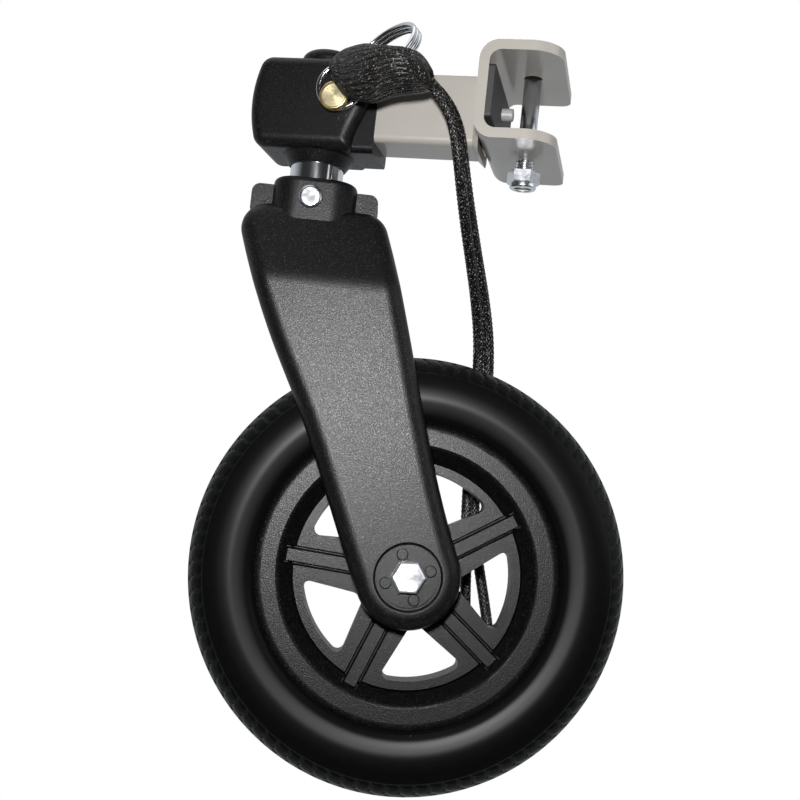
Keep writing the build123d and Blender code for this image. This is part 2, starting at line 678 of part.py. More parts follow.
AXLE_FACE = FORK_HALF - RECESS_D + DISC_T
for name, side, near in (("axle_disc_near", 1, True), ("axle_disc_far", -1, False)):
    with BuildPart() as axle_disc:
        with BuildSketch(SIDE.offset(side * (FORK_HALF - RECESS_D))):
            Circle(DISC_R)
        extrude(amount=side * DISC_T)
        with BuildSketch(SIDE.offset(side * AXLE_FACE)):
            with PolarLocations(BOSS_RING_R, 4, start_angle=20):
                Circle(BOSS_DOT_R)
        extrude(amount=side * BOSS_DOT_H)
        tops = axle_disc.faces().sort_by(AXLE)[-4:] if near else axle_disc.faces().sort_by(AXLE)[:4]
        fillet(tops.edges(), 0.5)
        with BuildSketch(SIDE.offset(side * (AXLE_FACE - DISC_HEX_D))):
            RegularPolygon(DISC_HEX_AF / 2, 6, major_radius=False, rotation=3)
        extrude(amount=side * 2 * DISC_HEX_D, mode=Mode.SUBTRACT)
        with BuildSketch(SIDE):
            Circle(M8_R)
        extrude(amount=side * 2 * FORK_HALF, mode=Mode.SUBTRACT)
    save(axle_disc, name)

AXLE_SEAT = AXLE_FACE - DISC_HEX_D
with BuildPart() as axle_bolt:
    with BuildSketch(SIDE.offset(-AXLE_SEAT - NYLOC_H - 1.5)):
        Circle(M8_R)
    extrude(amount=2 * AXLE_SEAT + NYLOC_H + 1.5)
    with BuildSketch(SIDE.offset(AXLE_SEAT)):
        RegularPolygon(HEX_AF / 2, 6, major_radius=False, rotation=3)
    extrude(amount=HEX_H)
    chamfer(axle_bolt.faces().sort_by(AXLE)[-1].edges(), 0.7)
save(axle_bolt, "axle_bolt")
save(hex_nut(SIDE, -AXLE_SEAT - NYLOC_H, NYLOC_H), "axle_nut")
save(both_sides(side_bar(RACE_INNER_R, M8_R, HUB_HALF, FORK_GAP)), "axle_spacers")
save(side_bar(RACE_INNER_R, M8_R, BEARING_W - HUB_HALF, HUB_HALF - BEARING_W), "hub_spacer")

# ---------------------------------------------------------------- wheel

BEARING_LOW = HUB_HALF - BEARING_W
BEARING_MID = HUB_HALF - BEARING_W / 2


save(both_sides(side_bar(RACE_INNER_R, M8_R, BEARING_LOW, HUB_HALF)), "bearing_inner_races")
save(both_sides(side_bar(BEARING_R, RACE_OUTER_R, BEARING_LOW, HUB_HALF)), "bearing_outer_races")

with BuildPart() as bearing_balls:
    for middle in (-BEARING_MID, BEARING_MID):
        with Locations(SIDE.offset(middle)):
            with PolarLocations((RACE_OUTER_R + RACE_INNER_R) / 2, BALLS):
                Sphere(BALL_R)
save(bearing_balls, "bearing_balls")
shield = side_bar(RACE_OUTER_R, RACE_INNER_R + 0.3, HUB_HALF - SHIELD_T, HUB_HALF)
save(both_sides(shield), "bearing_shields")

# One opening between two spokes: a triangle with its tip towards the hub.
with BuildSketch() as window:
    with BuildLine():
        Polyline((WINDOW_OUT, -WINDOW_UP), (WINDOW_TIP, 0), (WINDOW_OUT, WINDOW_UP))
        top_of_arc = (math.hypot(WINDOW_OUT, WINDOW_UP), 0)
        ThreePointArc((WINDOW_OUT, WINDOW_UP), top_of_arc, (WINDOW_OUT, -WINDOW_UP))
    make_face()
    fillet(window.vertices().sort_by(Axis.X)[0], 5.0)
    fillet(window.vertices().sort_by(Axis.X)[-2:], 3.2)

with BuildPart() as rim:
    with BuildSketch(AXIAL):
        with BuildLine():
            inside = Polyline((0, RACE_OUTER_R + 0.5), (BEARING_LOW, RACE_OUTER_R + 0.5),
                              (BEARING_LOW, BEARING_R), (HUB_HALF, BEARING_R), (HUB_HALF, HUB_R),
                              (DISC_HALF, HUB_R + 1), (DISC_HALF, SPOKE_DISC_R),
                              (WEB_HALF, SPOKE_DISC_R + 1.6), (RIM_HALF - 1.2, RING_INNER_R))
            edge = TangentArc(inside @ 1, (RIM_HALF, RING_INNER_R + 1.6), tangent=inside % 1)
            crown = Line(edge @ 1, (RIM_HALF, RIM_OUTER_R - 3.2))
            roll = TangentArc(crown @ 1, (RIM_HALF - 1.6, RIM_OUTER_R), tangent=crown % 1)
            Polyline(roll @ 1, (RIM_HALF - 3, RIM_OUTER_R), (RIM_HALF - 3, RIM_SEAT_R), (0, RIM_SEAT_R),
                     (0, RACE_OUTER_R + 0.5))
        make_face()
        mirror(about=Plane.YZ)
    revolve(axis=AXLE)
    with BuildSketch(SIDE):
        with PolarLocations(0, SPOKES, start_angle=SPOKE_ANGLE + 180 / SPOKES):
            add(window.sketch)
    extrude(amount=2 * RIM_HALF, both=True, mode=Mode.SUBTRACT)
    for side in (1, -1):
        with BuildSketch(SIDE.offset(side * DISC_HALF)):
            with PolarLocations(0, SPOKES, start_angle=SPOKE_ANGLE):
                for y in (-RIB_W / 2 - SPOKE_GROOVE_W / 2, RIB_W / 2 + SPOKE_GROOVE_W / 2):
                    with Locations((HUB_R + 3 + SPOKE_DISC_R / 2, y)):
                        Rectangle(SPOKE_DISC_R, SPOKE_GROOVE_W)
            Circle(HUB_R + 2, mode=Mode.SUBTRACT)
        extrude(amount=-side * SPOKE_GROOVE_D, taper=SPOKE_GROOVE_TAPER, mode=Mode.SUBTRACT)
        with BuildSketch(SIDE.offset(side * WEB_HALF)):
            with PolarLocations(0, SPOKES, start_angle=SPOKE_ANGLE):
                with Locations(((HUB_R + RIB_END_R) / 2, 0)):
                    Rectangle(RIB_END_R - HUB_R, RIB_W)
        extrude(amount=side * (DISC_HALF + RIB_RISE - WEB_HALF))


def rim_between(inner, outer):
    """The moulded rim between two radii, so that its ring, spokes and hub are separate solids."""
    with BuildPart() as piece:
        with BuildSketch(SIDE):
            Circle(outer)
            if inner:
                Circle(inner, mode=Mode.SUBTRACT)
        extrude(amount=2 * HUB_HALF, both=True)
        add(rim.part, mode=Mode.INTERSECT)
    return piece


save(rim_between(RING_SPLIT_R, TYRE_R), "rim_ring")

spokes = rim_between(HUB_SPLIT_R, RING_SPLIT_R)
for number, solid in enumerate(spokes.solids().sort_by(Axis.Z), 1):
    with BuildPart() as rim_spoke:
        add(solid)
    save(rim_spoke, f"rim_spoke_{number}")

save(rim_between(0, HUB_SPLIT_R), "rim_hub")

with BuildPart() as tyre:
    with BuildSketch(AXIAL):
        with BuildLine():
            seat = Polyline((0, RIM_SEAT_R), (RIM_HALF - 3, RIM_SEAT_R), (RIM_HALF - 3, RIM_OUTER_R),
                            (RIM_HALF + 0.5, RIM_OUTER_R))
            wall = Spline(seat @ 1, (TYRE_HALF - 1.4, 73.0), (TYRE_HALF, 80.0), (TYRE_HALF - 1.4, 88.0),
                          (TYRE_HALF - 4.5, 93.6))
            Spline(wall @ 1, (9.0, 97.6), (0, TYRE_R), tangents=(Vector(-1, 0.62), Vector(-1, 0)))
            Line((0, TYRE_R), (0, RIM_SEAT_R))
        make_face()
        mirror(about=Plane.YZ)
    revolve(axis=AXLE)
save(tyre, "tyre")
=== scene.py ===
"""Looks of the gate wheel: materials, braided cord, split ring, tyre and bolt thread, on the CAD frame."""
import json
import math
import bpy
from mathutils import Matrix, Vector


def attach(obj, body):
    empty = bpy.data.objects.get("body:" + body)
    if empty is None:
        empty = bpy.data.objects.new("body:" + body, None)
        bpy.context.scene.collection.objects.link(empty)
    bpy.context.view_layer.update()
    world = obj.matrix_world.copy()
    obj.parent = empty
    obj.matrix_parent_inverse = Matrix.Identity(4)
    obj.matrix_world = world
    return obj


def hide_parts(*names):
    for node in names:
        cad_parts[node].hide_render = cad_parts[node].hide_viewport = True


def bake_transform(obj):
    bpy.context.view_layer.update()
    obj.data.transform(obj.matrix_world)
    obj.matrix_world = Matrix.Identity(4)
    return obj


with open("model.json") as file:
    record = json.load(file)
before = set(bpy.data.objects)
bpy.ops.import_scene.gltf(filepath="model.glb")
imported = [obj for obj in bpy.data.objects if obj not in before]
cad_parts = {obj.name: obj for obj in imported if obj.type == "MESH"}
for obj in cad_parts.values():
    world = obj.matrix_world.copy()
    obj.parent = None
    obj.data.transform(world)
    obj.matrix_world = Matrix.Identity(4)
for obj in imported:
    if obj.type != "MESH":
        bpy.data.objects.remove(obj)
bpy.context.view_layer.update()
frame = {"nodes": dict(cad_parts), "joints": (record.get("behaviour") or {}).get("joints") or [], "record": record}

MM = 0.001

# ------------------------------------------------------------------ places, from the frame

JOINTS = {joint["name"]: joint for joint in frame["joints"]}
STEM = Vector(JOINTS["swivel"]["pos_m"])
HUB = Vector(JOINTS["wheel_spin"]["pos_m"])
NEAR = Vector(JOINTS["wheel_spin"]["axis"])
UP = Vector((0, 0, 1))
BACK = Vector((HUB.x - STEM.x, HUB.y - STEM.y, 0)).normalized()
RING_CENTRE = Vector(JOINTS["ring_turn"]["pos_m"])
RING_NORMAL = Vector(JOINTS["ring_turn"]["axis"])


def at_hub(back, near, up):
    """A point in millimetres from the wheel's centre: back along the fork, out to the near side, up."""
    return HUB + (BACK * back + NEAR * near + UP * up) * MM


# ------------------------------------------------------------------ camera and light

CAMERA_AT = (-18.0, 560.0, 29.0)
CAMERA_YAW, CAMERA_PITCH, CAMERA_ROLL = 0.67, 5.14, 6.17
LENS = 54.36


def make_camera():
    data = bpy.data.cameras.new("camera")
    data.lens = LENS
    data.sensor_width = 36.0
    camera = bpy.data.objects.new("camera", data)
    bpy.context.scene.collection.objects.link(camera)
    yaw, pitch, roll = (math.radians(a) for a in (CAMERA_YAW, CAMERA_PITCH, CAMERA_ROLL))
    away = -NEAR
    forward = (BACK * math.sin(yaw) + away * math.cos(yaw)) * math.cos(pitch) + UP * math.sin(pitch)
    level = BACK * math.cos(yaw) - away * math.sin(yaw)
    upright = level.cross(forward)
    right = level * math.cos(roll) + upright * math.sin(roll)
    top = upright * math.cos(roll) - level * math.sin(roll)
    turn = Matrix((right, top, -forward)).transposed().to_4x4()
    camera.matrix_world = Matrix.Translation(at_hub(*CAMERA_AT)) @ turn
    bpy.context.scene.camera = camera


def soft_light(name, place, target, size, power):
    data = bpy.data.lights.new(name, "AREA")
    data.shape = "DISK"
    data.size = size
    data.energy = power
    light = bpy.data.objects.new(name, data)
    bpy.context.scene.collection.objects.link(light)
    light.location = place
    light.rotation_euler = (target - place).to_track_quat("-Z", "Y").to_euler()


ROOM_BACK, ROOM_FRONT = 0.6, 0.03


def make_lights():
    middle = at_hub(-30, 0, 90)
    soft_light("flash", at_hub(-52, 570, 121), middle, 0.06, 5.6)
    soft_light("overhead", at_hub(-250, 100, 900), middle, 0.9, 1.6)
    soft_light("side", at_hub(700, 250, 350), middle, 0.6, 1.0)


def make_world():
    """A white backdrop for the eye; for the object, a bright backdrop behind it and a dim room in front."""
    world = bpy.data.worlds.new("studio")
    bpy.context.scene.world = world
    world.use_nodes = True
    nodes, links = world.node_tree.nodes, world.node_tree.links
    nodes.clear()
    out = nodes.new("ShaderNodeOutputWorld")
    mix = nodes.new("ShaderNodeMixShader")
    path = nodes.new("ShaderNodeLightPath")
    seen = nodes.new("ShaderNodeBackground")
    seen.inputs["Color"].default_value = (1, 1, 1, 1)
    seen.inputs["Strength"].default_value = 1.0
    lit = nodes.new("ShaderNodeBackground")
    lit.inputs["Color"].default_value = (0.93, 0.97, 1.0, 1)
    direction = nodes.new("ShaderNodeTexCoord")
    facing = nodes.new("ShaderNodeVectorMath")
    facing.operation = "DOT_PRODUCT"
    facing.inputs[1].default_value = tuple(NEAR)
    strength = nodes.new("ShaderNodeMapRange")
    strength.inputs["From Min"].default_value = -0.45
    strength.inputs["From Max"].default_value = 0.40
    strength.inputs["To Min"].default_value = ROOM_BACK
    strength.inputs["To Max"].default_value = ROOM_FRONT
    links.new(direction.outputs["Generated"], facing.inputs[0])
    links.new(facing.outputs["Value"], strength.inputs["Value"])
    links.new(strength.outputs["Result"], lit.inputs["Strength"])
    links.new(path.outputs["Is Camera Ray"], mix.inputs["Fac"])
    links.new(lit.outputs["Background"], mix.inputs[1])
    links.new(seen.outputs["Background"], mix.inputs[2])
    links.new(mix.outputs["Shader"], out.inputs["Surface"])
    bpy.context.scene.view_settings.view_transform = "Standard"


make_camera()
make_lights()
make_world()

# ------------------------------------------------------------------ material helpers

NOISE_ROUGHNESS = 0.6


def new_material(name, colour, roughness, metallic=0.0, specular=0.5):
    material = bpy.data.materials.new(name)
    material.use_nodes = True
    shader = material.node_tree.nodes["Principled BSDF"]
    shader.inputs["Base Color"].default_value = (*colour, 1)
    shader.inputs["Roughness"].default_value = roughness
    shader.inputs["Metallic"].default_value = metallic
    shader.inputs["Specular IOR Level"].default_value = specular
    return material, material.node_tree.nodes, material.node_tree.links, shader


def noise(nodes, links, scale, detail=3.0):
    place = nodes.new("ShaderNodeTexCoord")
    texture = nodes.new("ShaderNodeTexNoise")
    texture.inputs["Scale"].default_value = scale
    texture.inputs["Detail"].default_value = detail
    texture.inputs["Roughness"].default_value = NOISE_ROUGHNESS
    links.new(place.outputs["Object"], texture.inputs["Vector"])
    return texture


def ramp(nodes, links, source, stops):
    node = nodes.new("ShaderNodeValToRGB")
    elements = node.color_ramp.elements
    while len(elements) < len(stops):
        elements.new(0.5)
    for element, (place, colour) in zip(elements, stops):
        element.position = place
        element.color = (*colour, 1) if isinstance(colour, tuple) else (colour, colour, colour, 1)
    links.new(source, node.inputs["Fac"])
    return node


def bump(nodes, links, shader, height, strength, distance):
    node = nodes.new("ShaderNodeBump")
    node.inputs["Strength"].default_value = strength
    node.inputs["Distance"].default_value = distance
    links.new(height, node.inputs["Height"])
    links.new(node.outputs["Normal"], shader.inputs["Normal"])


def black_nylon():
    """Glass-filled nylon: a near-black base with fine grain of random tone, whose pale flecks are painted sparkle
    standing in for glints of light on the grain, and soft shine.
    """
    material, nodes, links, shader = new_material("black_nylon", (0.003, 0.003, 0.0035), 0.38, specular=0.24)
    grain = noise(nodes, links, 1900.0, 2.0)
    # The ramp's top stop paints pale flecks into the colour: painted sparkle for the glints of light on the grain.
    # The lower stops are the grain's random tone.
    tint = ramp(nodes, links, grain.outputs["Fac"],
                [(0.40, (0.0012, 0.0011, 0.0013)), (0.58, (0.003, 0.003, 0.0034)),
                 (0.71, (0.036, 0.036, 0.040))])
    links.new(tint.outputs["Color"], shader.inputs["Base Color"])
    rough = ramp(nodes, links, grain.outputs["Fac"], [(0.35, 0.46), (0.70, 0.27)])
    links.new(rough.outputs["Color"], shader.inputs["Roughness"])
    bump(nodes, links, shader, grain.outputs["Fac"], 0.55, 0.0002)
    return material


def cord_yarn():
    """Black braided yarn with painted glints: small pale flecks in its colour stand in for highlights on the
    yarns.
    """
    material, nodes, links, shader = new_material("braided_cord", (0.003, 0.0025, 0.0025), 0.34, specular=0.3)
    painted_glint_noise = noise(nodes, links, 1300.0, 1.0)
    # The ramp's pale top stop is painted highlight: glints put into the colour of the yarn.
    tint = ramp(nodes, links, painted_glint_noise.outputs["Fac"],
                [(0.50, (0.002, 0.0016, 0.0016)), (0.62, (0.007, 0.006, 0.006)), (0.72, (0.24, 0.23, 0.21))])
    links.new(tint.outputs["Color"], shader.inputs["Base Color"])
    bump(nodes, links, shader, noise(nodes, links, 2500.0, 2.0).outputs["Fac"], 0.3, 0.0002)
    return material


def grey_paint(name="grey_paint", lumps=0.12, scale=260.0):
    material, nodes, links, shader = new_material(name, (0.27, 0.252, 0.230), 0.30)
    shader.inputs["Coat Weight"].default_value = 0.35
    shader.inputs["Coat Roughness"].default_value = 0.12
    tint = ramp(nodes, links, noise(nodes, links, 25.0, 4.0).outputs["Fac"],
                [(0.3, (0.262, 0.245, 0.223)), (0.7, (0.285, 0.268, 0.244))])
    links.new(tint.outputs["Color"], shader.inputs["Base Color"])
    bump(nodes, links, shader, noise(nodes, links, scale, 2.0).outputs["Fac"], lumps, 0.0006)
    return material


def plated(name, colour, roughness, wear=0.08, streaks=0.0):
    """Plated metal; streaks stretches its marks along Z."""
    material, nodes, links, shader = new_material(name, colour, roughness, metallic=1.0)
    marks = noise(nodes, links, 180.0, 5.0)
    if streaks:
        stretch = nodes.new("ShaderNodeMapping")
        stretch.inputs["Scale"].default_value = (1.0, 1.0, 1.0 / streaks)
        links.new(marks.inputs["Vector"].links[0].from_socket, stretch.inputs["Vector"])
        links.new(stretch.outputs["Vector"], marks.inputs["Vector"])
    rough = ramp(nodes, links, marks.outputs["Fac"], [(0.3, roughness - 0.5 * wear), (0.7, roughness + wear)])
    links.new(rough.outputs["Color"], shader.inputs["Roughness"])
    tint = ramp(nodes, links, marks.outputs["Fac"], [(0.3, tuple(0.86 * c for c in colour)), (0.6, colour)])
    links.new(tint.outputs["Color"], shader.inputs["Base Color"])
    bump(nodes, links, shader, marks.outputs["Fac"], 0.10, 0.0002)
    return material


def plain(name, colour, roughness, scale=400.0, depth=0.1, specular=0.5):
    material, nodes, links, shader = new_material(name, colour, roughness, specular=specular)
    grain = noise(nodes, links, scale, 3.0)
    tint = ramp(nodes, links, grain.outputs["Fac"],
                [(0.3, tuple(0.8 * c for c in colour)), (0.7, tuple(1.15 * c for c in colour))])
    links.new(tint.outputs["Color"], shader.inputs["Base Color"])
    bump(nodes, links, shader, grain.outputs["Fac"], depth, 0.0002)
    return material


NYLON = black_nylon()
PAINT = grey_paint()
WELD = grey_paint("painted_weld", 0.9, 130.0)
ZINC = plated("zinc_steel", (0.74, 0.76, 0.80), 0.2)
CHROME = plated("bright_chrome", (0.86, 0.87, 0.89), 0.1, 0.05)
STEM_CHROME = plated("stem_chrome", (0.80, 0.82, 0.86), 0.12, 0.08, 12.0)
STEEL = plated("bearing_steel", (0.58, 0.58, 0.60), 0.3)
YELLOW = plated("yellow_zinc", (0.86, 0.66, 0.28), 0.28)
WHITE = plain("white_nylon", (0.75, 0.74, 0.70), 0.4)
RUBBER = plain("black_rubber", (0.012, 0.012, 0.013), 0.6)
TYRE = plain("tyre_rubber", (0.0018, 0.0018, 0.002), 0.38, 300.0, 0.04, 0.12)
CORD = cord_yarn()
PALE_GOLD = plated("turned_yellow_zinc", (0.44, 0.39, 0.24), 0.46, 0.2)
PEG_GREY = plain("grey_peg", (0.22, 0.215, 0.21), 0.4)

BY_SLOT = {
    "grey_paint": PAINT, "zinc_steel": ZINC, "bright_chrome": CHROME, "bearing_steel": STEEL,
    "yellow_zinc": YELLOW, "black_nylon": NYLON, "white_nylon": WHITE, "black_rubber": RUBBER,
    "tyre_rubber": TYRE, "braided_cord": CORD,
}
BY_NODE = {"arm_weld": WELD, "stem": STEM_CHROME, "locating_peg": PEG_GREY}
for row in frame["record"]["subparts"]:
    node = frame["nodes"][row["node"]]
    node.data.materials.clear()
    node.data.materials.append(BY_NODE.get(row["node"], BY_SLOT[row["material_slot"]]))

# ------------------------------------------------------------------ cord

CORD_ROUTE = (
    (-32.6, -28.0, 6.0),
    (-24.8, -27.2, -1.0),
    (-17.5, -25.5, -13.0),
    (-14.2, -23.5, -28.0),
    (-12.6, -14.5, -41.0),
    (-11.2, -1.0, -54.0),
    (-9.2, 13.0, -68.0),
    (-7.2, 27.0, -83.0),
    (-5.6, 38.0, -99.0),
    (-5.0, 43.4, -117.0),
    (-5.4, 44.2, -140.0),
    (-4.6, 43.0, -166.0),
    (-3.4, 42.8, -188.0),
    (-1.4, 43.6, -206.0),
    (-0.5, 44.9, -222.0),
    (1.4, 45.5, -240.0),
    (2.2, 46.0, -252.0),
    (5.0, 46.5, -260.0),
    (11.0, 47.3, -260.0),
    (13.8, 47.8, -252.0),
    (12.4, 47.6, -240.0),
    (8.0, 47.4, -222.0),
    (3.6, 48.2, -206.0),
    (-0.4, 48.4, -188.0),
    (-1.6, 47.8, -166.0),
    (-0.2, 46.0, -140.0),
    (0.2, 44.6, -116.6),
    (-1.2, 40.6, -97.4),
    (-4.0, 30.3, -80.1),
    (-7.0, 16.5, -64.6),
    (-9.4, 2.6, -50.5),
    (-11.4, -10.6, -37.5),
    (-13.2, -18.7, -25.8),
    (-16.3, -20.4, -12.0),
    (-23.6, -22.1, 0.2),
    (-32.2, -22.7, 7.0),
)


def smooth_line(points, name):
    """The points of a smooth NURBS line along a route in millimetres. It passes inside the route's corners."""
    data = bpy.data.curves.new(name, "CURVE")
    data.dimensions = "3D"
    data.resolution_u = 16
    spline = data.splines.new("NURBS")
    spline.points.add(len(points) - 1)
    for point, place in zip(spline.points, points):
        point.co = (*(Vector(place) * MM), 1)
    spline.order_u = 3
    spline.use_endpoint_u = True
    holder = bpy.data.objects.new(name, data)
    line = bpy.data.meshes.new_from_object(holder)
    places = [v.co.copy() for v in line.vertices]
    bpy.data.objects.remove(holder)
    bpy.data.curves.remove(data)
    bpy.data.meshes.remove(line)
    return [p for i, p in enumerate(places) if i == 0 or (p - places[i - 1]).length > 0.01 * MM]


def even_line(places, step):
    """The same line with its points an even step apart."""
    lengths = [0.0]
    for a, b in zip(places, places[1:]):
        lengths.append(lengths[-1] + (b - a).length)
    count = max(2, round(lengths[-1] / step))
    even, i = [], 0
    for k in range(count + 1):
        want = lengths[-1] * k / count
        while i < len(places) - 2 and lengths[i + 1] < want:
            i += 1
        span = lengths[i + 1] - lengths[i]
        even.append(places[i].lerp(places[i + 1], (want - lengths[i]) / span if span else 0.0))
    return even


def carried_frames(line, side):
    """At each point of a line: the direction along it and two across, turning as little as they can."""
    frames = []
    across = side
    for i, place in enumerate(line):
        ahead = (line[min(i + 1, len(line) - 1)] - line[max(i - 1, 0)]).normalized()
        across = (across - ahead * across.dot(ahead)).normalized()
        frames.append((place, ahead, across, ahead.cross(across)))
    return frames


def add_strip(verts, faces, rings):
    """Joins rings of points into a closed tube with flat ends."""
    start, size = len(verts), len(rings[0])
    for ring in rings:
        verts.extend(ring)
    for r in range(len(rings) - 1):
        for k in range(size):
            a, b = start + r * size + k, start + r * size + (k + 1) % size
            faces.append((a, b, b + size, a + size))
    faces.append(tuple(range(start, start + size))[::-1])
    last = start + (len(rings) - 1) * size
    faces.append(tuple(range(last, last + size)))


def mesh_piece(name, verts, faces, material, body, smooth=True):
    data = bpy.data.meshes.new(name)
    data.from_pydata([tuple(v) for v in verts], [], faces)
    data.validate()
    if smooth:
        data.polygons.foreach_set("use_smooth", [True] * len(data.polygons))
    data.materials.append(material)
    piece = bpy.data.objects.new(name, data)
    bpy.context.scene.collection.objects.link(piece)
    if body:
        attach(piece, body)
    return piece


BRAID_CARRIERS = 8
BRAID_CORE = 0.80
BRAID_MIDDLE, BRAID_WAVE = 0.9, 0.09
CORE_SIDES, YARN_SIDES = 10, 6
YARN_FLATNESS = 0.4
CORD_HALF_WIDE, CORD_HALF_THICK = 2.5 * MM, 1.9 * MM


def braid(verts, faces, line, half_wide, half_thick, side, lead=19.0 * MM, step=0.8 * MM, yarn=0.66 * MM):
    """A tubular braid on a line: carriers wound both ways, each going over and under the other set."""
    frames = carried_frames(even_line(line, step), side)
    core = []
    for place, _, across, other in frames:
        core.append([place + across * (BRAID_CORE * half_wide * math.cos(a))
                     + other * (BRAID_CORE * half_thick * math.sin(a))
                     for a in (math.tau * k / CORE_SIDES for k in range(CORE_SIDES))])
    add_strip(verts, faces, core)
    for way in (1, -1):
        for carrier in range(BRAID_CARRIERS):
            rings = []
            over_first = 0 if way == 1 else math.pi
            for i, (place, ahead, across, other) in enumerate(frames):
                turn = way * math.tau * i * step / lead + math.tau * carrier / BRAID_CARRIERS
                lift = BRAID_MIDDLE + BRAID_WAVE * math.cos(BRAID_CARRIERS * turn + over_first)
                out = across * math.cos(turn) * half_wide + other * math.sin(turn) * half_thick
                tangent = across * -math.sin(turn) * half_wide + other * math.cos(turn) * half_thick
                tangent = (tangent * way + ahead * (lead / math.tau)).normalized()
                normal = out.normalized()
                wide = tangent.cross(normal).normalized() * yarn
                high = normal * (YARN_FLATNESS * yarn)
                centre = place + out * lift
                rings.append([centre + wide * math.cos(a) + high * math.sin(a)
                              for a in (math.tau * k / YARN_SIDES for k in range(YARN_SIDES))])
            add_strip(verts, faces, rings)


def make_cord():
    line = smooth_line(CORD_ROUTE, "cord_line")
    verts, faces = [], []
    braid(verts, faces, line, CORD_HALF_WIDE, CORD_HALF_THICK, Vector((1, 0, 0)))
    piece = mesh_piece("cord_tail", verts, faces, CORD, None)
    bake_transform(piece)
    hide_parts("cord_loop")


make_cord()

# ------------------------------------------------------------------ cord bundle round both rings

# Its sections along X: place, middle in Y and Z, half depth, half height.
BUNDLE = (
    (-75.4, -26.6, 9.4, 2.2, 2.4),
    (-73.4, -27.6, 9.2, 4.0, 5.0),
    (-70.3, -29.0, 7.8, 6.4, 8.0),
    (-66.8, -30.9, 6.2, 8.6, 10.2),
    (-63.2, -33.0, 5.0, 11.0, 11.2),
    (-57.5, -36.2, 4.0, 14.0, 11.8),
    (-52.5, -38.4, 2.6, 16.2, 10.9),
    (-48.3, -39.4, 3.2, 17.0, 9.4),
    (-42.7, -40.2, 3.6, 17.0, 8.2),
    (-37.0, -40.6, 3.7, 16.0, 7.7),
    (-33.0, -39.8, 3.6, 14.0, 7.0),
    (-30.0, -37.6, 3.0, 11.0, 5.2),
    (-28.4, -36.0, 2.4, 7.0, 3.2),
)
STRANDS = 26
STRAND_WIDE, STRAND_THICK = 1.75 * MM, 1.1 * MM
STRAND_LEAD, STRAND_STEP, STRAND_YARN = 9.0 * MM, 0.6 * MM, 0.5 * MM
STRAND_SCALE, LINING_SCALE = 0.94, 0.84
LINING_SIDES = 32
BUNDLE_WIDEST = 4
BUNDLE_TWIST = math.radians(38)


def bundle_point(row, angle, scale):
    x, y, z, deep, tall = row
    return Vector((x, y + scale * deep * math.cos(angle), z + scale * tall * math.sin(angle)))


def make_bundle():
    """Braided strands side by side over an oval lining. The split ring's coils run through both."""
    verts, faces = [], []
    lining = []
    for row in BUNDLE:
        lining.append([bundle_point(row, math.tau * k / LINING_SIDES, LINING_SCALE) * MM
                       for k in range(LINING_SIDES)])
    add_strip(verts, faces, lining)
    for strand in range(STRANDS):
        route = []
        for i, row in enumerate(BUNDLE):
            angle = math.tau * strand / STRANDS - BUNDLE_TWIST * i / (len(BUNDLE) - 1)
            route.append(tuple(bundle_point(row, angle, STRAND_SCALE)))
        middle = Vector(BUNDLE[BUNDLE_WIDEST][:3]) * MM
        line = smooth_line(route, "strand_line")
        out = line[len(line) // 2] - middle
        side = Vector((1, 0, 0)).cross(out)
        braid(verts, faces, line, STRAND_WIDE, STRAND_THICK, side, STRAND_LEAD, STRAND_STEP, STRAND_YARN)
    piece = mesh_piece("cord_bundle", verts, faces, CORD, "pin")
    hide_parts("cord_hitch")


make_bundle()

# ------------------------------------------------------------------ split pull ring

COILS = 3
COIL_STEPS = 120
COIL_PITCH = 1.95 * MM
COIL_RADIUS = 18.0 * MM
WIRE_OUT, WIRE_SIDE = 1.05 * MM, 0.94 * MM
COIL_STEP_TURN = math.radians(34)
WIRE_SIDES = 14


def make_pull_ring():
    """A split ring: nearly round wire in coils side by side, each stepping over to the next in a short way."""
    across = RING_NORMAL.orthogonal().normalized()
    other = RING_NORMAL.cross(across)
    rings = []
    for i in range(COILS * COIL_STEPS + 1):
        turn = math.tau * i / COIL_STEPS
        coil = min(turn // math.tau, COILS - 1)
        part = turn - coil * math.tau
        step = min(max((part - math.tau + COIL_STEP_TURN) / COIL_STEP_TURN, 0), 1) if coil < COILS - 1 else 0
        step = step * step * (3 - 2 * step)
        shift = (coil + step - (COILS - 1) / 2) * COIL_PITCH
        out = across * math.cos(turn) + other * math.sin(turn)
        centre = RING_CENTRE + RING_NORMAL * shift + out * COIL_RADIUS
        rings.append([centre + out * (WIRE_OUT * math.cos(a)) + RING_NORMAL * (WIRE_SIDE * math.sin(a))
                      for a in (math.tau * k / WIRE_SIDES for k in range(WIRE_SIDES))])
    verts, faces = [], []
    add_strip(verts, faces, rings)
    piece = mesh_piece("split_ring", verts, faces, CHROME, "pull_ring")
    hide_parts("pull_ring")


make_pull_ring()

# ------------------------------------------------------------------ tyre

TYRE_WALL = (
    (12.5, 69.0), (14.2, 69.6), (15.6, 71.2), (16.6, 73.0), (17.5, 76.4), (18.0, 80.0), (17.6, 84.4),
    (16.6, 88.0), (15.2, 91.2), (13.5, 93.6), (11.4, 95.9), (9.0, 97.6), (4.6, 99.3), (0.0, 100.0),
)
TYRE_BEAD = ((9.0, 66.0), (9.0, 69.0))
TREAD_FROM_R = 92.6
EDGE_LINE_HALF, EDGE_LINE_DEEP = 0.45, 0.5
GROOVE_AT, GROOVE_HALF, GROOVE_DEEP = 4.6, 0.6, 0.9
CUT_DEEP, CUT_STEPS, CUT_STAGGER = 0.8, 2, 3
LUGS = 90
AROUND = 720


